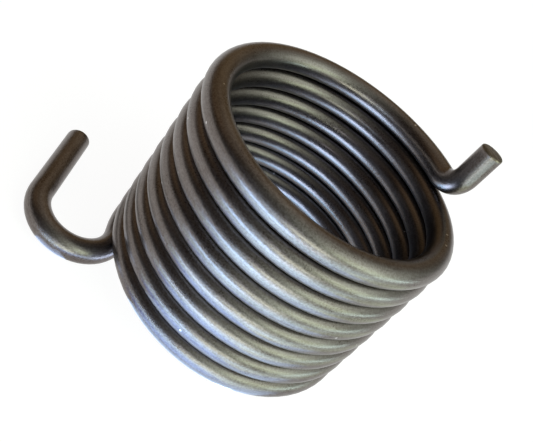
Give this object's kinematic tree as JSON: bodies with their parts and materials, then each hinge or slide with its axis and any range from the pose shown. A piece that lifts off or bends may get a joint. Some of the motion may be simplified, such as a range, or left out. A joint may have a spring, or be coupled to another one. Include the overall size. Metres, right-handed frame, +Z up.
{
  "type": "helical torsion spring",
  "caption": "Close-wound, left-handed torsion spring of round steel wire, with a short leg along the axis at one end and an outward hook at the other.",
  "frame": {"origin": "on the coil's axis, level with the lowest point of the wire", "axes": "+Z up along the coil's axis, towards the short leg; -Y towards the viewer, with the hook at the left on the -X side"},
  "size_m": [0.0445, 0.0334, 0.034],
  "materials": {
    "wire": "dark satin oil-tempered spring wire with a fine grain"
  },
  "bodies": {
    "root": {"spring": "wire"}
  },
  "joints": []
}
